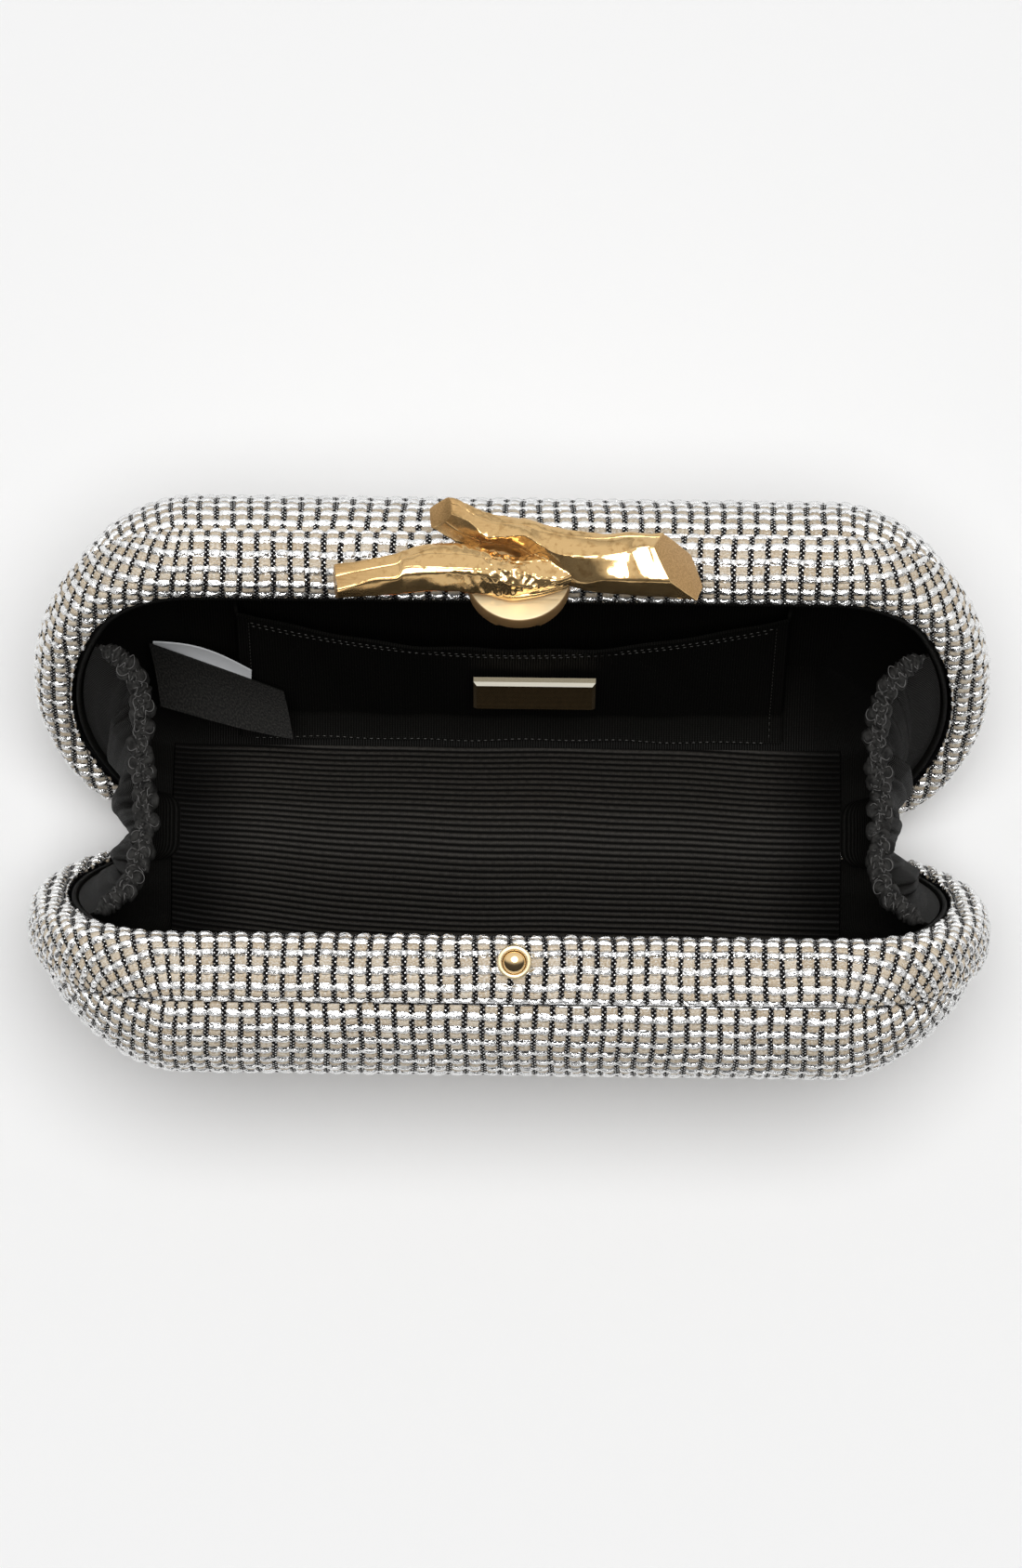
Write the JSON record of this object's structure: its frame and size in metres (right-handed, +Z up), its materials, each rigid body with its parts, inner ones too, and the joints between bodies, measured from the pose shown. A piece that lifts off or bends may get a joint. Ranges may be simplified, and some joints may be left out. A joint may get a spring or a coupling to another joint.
{
  "type": "clutch bag",
  "caption": "Hard-case clutch bag with pillow-shaped halves on a long hinge, padded woven rims, a twig clasp with a spring catch, and a cloth-lined inside with a slip pocket.",
  "frame": {"origin": "middle of the footprint on the table, with the bag standing open on its hinge side", "axes": "+X along the bag's length, +Y from the front half to the back half, +Z up"},
  "size_m": [0.18, 0.1076, 0.1121],
  "materials": {
    "woven_cloth": "chunky woven silver, cream and black",
    "black_cloth": "fine ribbed weave",
    "elastic": "gathered and zigzag stitched",
    "satin": "white satin",
    "foam": "foam sheet",
    "board": "moulded shell",
    "steel": "plain",
    "gold": "gold plated, part brushed and part polished"
  },
  "bodies": {
    "back_half": {"back_cover": "woven_cloth", "back_padding": "foam", "back_shell": "board", "back_rim_frame": "steel", "back_rim_cover": "woven_cloth", "back_lining": "black_cloth", "hinge_leaf_back": "steel", "hinge_pin": "steel", "hinge_rivet_back_1": "steel", "hinge_rivet_back_2": "steel", "hinge_rivet_back_3": "steel", "hinge_rivet_back_4": "steel", "clasp_disc": "gold", "clasp_screw_left": "steel", "clasp_screw_right": "steel", "twig_handle": "gold", "slip_pocket": "black_cloth", "name_plate": "gold", "woven_label": "black_cloth", "care_label": "satin", "gusset_left": "black_cloth", "gusset_right": "black_cloth", "elastic_left": "elastic", "elastic_right": "elastic", "hinge_lining": "black_cloth"},
    "front_half": {"front_cover": "woven_cloth", "front_padding": "foam", "front_shell": "board", "front_rim_frame": "steel", "front_rim_cover": "woven_cloth", "front_lining": "black_cloth", "hinge_leaf_front": "steel", "hinge_rivet_front_1": "steel", "hinge_rivet_front_2": "steel", "hinge_rivet_front_3": "steel", "hinge_rivet_front_4": "steel", "catch_sleeve": "gold", "catch_spring": "steel"},
    "catch_ball": {"catch_ball": "gold"}
  },
  "joints": [
    {"name": "case_hinge", "type": "hinge", "parent": "back_half", "child": "front_half", "pos_m": [0, 0, 0.00192], "axis": [1, 0, 0], "range_deg": [-38.4, 0], "deforming": ["gusset_left", "gusset_right", "elastic_left", "elastic_right", "hinge_lining"]},
    {"name": "catch_press", "type": "slide", "parent": "front_half", "child": "catch_ball", "axis": [0, 0.3289, -0.9444], "range_m": [0, 0.0008], "stiffness_N_per_m": 600, "deforming": ["catch_spring"]}
  ]
}
